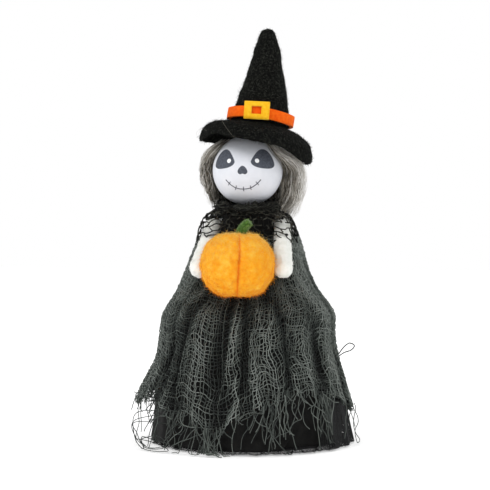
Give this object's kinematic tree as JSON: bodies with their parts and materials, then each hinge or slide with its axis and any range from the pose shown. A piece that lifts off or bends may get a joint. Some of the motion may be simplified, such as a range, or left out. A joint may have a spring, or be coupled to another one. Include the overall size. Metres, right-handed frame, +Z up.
{
  "type": "swaying witch figure",
  "caption": "Cloth witch doll with ball head, felt hat and pumpkin, gauze dress over a round battery base whose geared motor sways it from side to side.",
  "frame": {"origin": "on the floor plane, under the middle of the round base", "axes": "+Z up, the figure faces -Y, +X is the figure's left hand"},
  "size_m": [0.16, 0.16, 0.2999],
  "materials": {
    "black_plastic": "satin moulded",
    "white_plastic": "moulded",
    "gear_plastic": "moulded acetal",
    "steel": "drawn steel",
    "zinc_plate": "bright plated",
    "magnet": "ferrite",
    "brass": "machined",
    "cell_wrap": "printed sleeve",
    "rubber": "matt",
    "red_pvc": "soft insulation",
    "black_pvc": "soft insulation",
    "buckram": "stiff black card",
    "black_satin": "woven lining",
    "black_tulle": "fine net",
    "gauze": "open plain-weave gauze",
    "net": "coarse net",
    "fibre_fill": "polyester wadding",
    "cream_felt": "felted",
    "painted_ball": "smooth matt, painted features",
    "wool_hair": "combed wool",
    "black_felt": "napped felt",
    "orange_felt": "pressed felt",
    "yellow_felt": "pressed felt",
    "pumpkin_wool": "needle-felted wool",
    "green_felt": "rolled felt"
  },
  "bodies": {
    "base": {"base_tray": "black_plastic", "base_cover": "black_plastic", "aa_cells": "cell_wrap", "contact_springs": "zinc_plate", "contact_plates": "zinc_plate", "switch_case": "zinc_plate", "gearbox_front_plate": "white_plastic", "gearbox_rear_plate": "white_plastic", "gearbox_posts": "white_plastic", "mast_bracket": "white_plastic", "bracket_spacers": "white_plastic", "motor_can": "zinc_plate", "motor_magnets": "magnet", "motor_end_bell": "white_plastic", "gear_pins": "steel", "sway_axle": "steel", "axle_clip": "steel", "cover_screws": "steel", "rubber_feet": "rubber", "red_lead": "red_pvc", "black_lead": "black_pvc", "skirt_former": "buckram", "underskirt": "black_satin", "tulle_petticoat": "black_tulle"},
    "crank": {"output_gear": "gear_plastic", "output_shaft": "steel", "crank_disc": "gear_plastic", "crank_pin": "steel"},
    "second_wheel": {"second_gear": "gear_plastic"},
    "first_wheel": {"first_gear": "gear_plastic"},
    "armature": {"motor_armature": "steel", "motor_pinion": "brass"},
    "figure": {"sway_lever": "white_plastic", "mast": "black_plastic", "torso_core": "fibre_fill", "bodice": "black_satin", "arm_wire": "steel", "left_arm": "cream_felt", "right_arm": "cream_felt", "head_ball": "painted_ball", "wig": "wool_hair", "hat_cone": "black_felt", "hat_brim": "black_felt", "hat_band": "orange_felt", "hat_buckle": "yellow_felt", "neck_ruff": "net", "gauze_dress": "gauze", "pumpkin": "pumpkin_wool", "pumpkin_stem": "green_felt"},
    "switch_slide": {"switch_slider": "black_plastic"},
    "door": {"battery_door": "black_plastic"},
    "door_fastener": {"door_screw": "steel"}
  },
  "joints": [
    {"name": "motor_turn", "type": "hinge", "parent": "base", "child": "armature", "pos_m": [-0.00286, 0, 0.03778], "axis": [0, 1, 0], "continuous": true},
    {"name": "second_gear_turn", "type": "hinge", "parent": "base", "child": "second_wheel", "pos_m": [0.01106, 0, 0.02974], "axis": [0, 1, 0], "continuous": true},
    {"name": "first_gear_turn", "type": "hinge", "parent": "base", "child": "first_wheel", "pos_m": [0.00889, 0, 0.04205], "axis": [0, 1, 0], "continuous": true},
    {"name": "crank_turn", "type": "hinge", "parent": "base", "child": "crank", "pos_m": [0, 0, 0.022], "axis": [0, 1, 0], "continuous": true},
    {"name": "sway", "type": "hinge", "parent": "base", "child": "figure", "pos_m": [0, 0, 0.046], "axis": [0, 1, 0], "range_deg": [-7, 7]},
    {"name": "switch", "type": "slide", "parent": "base", "child": "switch_slide", "axis": [1, 0, 0], "range_m": [0, 0.002]},
    {"name": "door_lift_off", "type": "slide", "parent": "base", "child": "door", "axis": [0, 0, -1], "range_m": [0, 0.02]},
    {"name": "door_screw_turn", "type": "hinge", "parent": "door", "child": "door_fastener", "pos_m": [0.0355, -0.02, 0.002], "axis": [0, 0, 1], "continuous": true}
  ],
  "couplings": [
    {"joint": "first_gear_turn", "follows": "motor_turn", "ratio": -0.25},
    {"joint": "second_gear_turn", "follows": "motor_turn", "ratio": 0.0625},
    {"joint": "crank_turn", "follows": "motor_turn", "ratio": -0.014205}
  ]
}
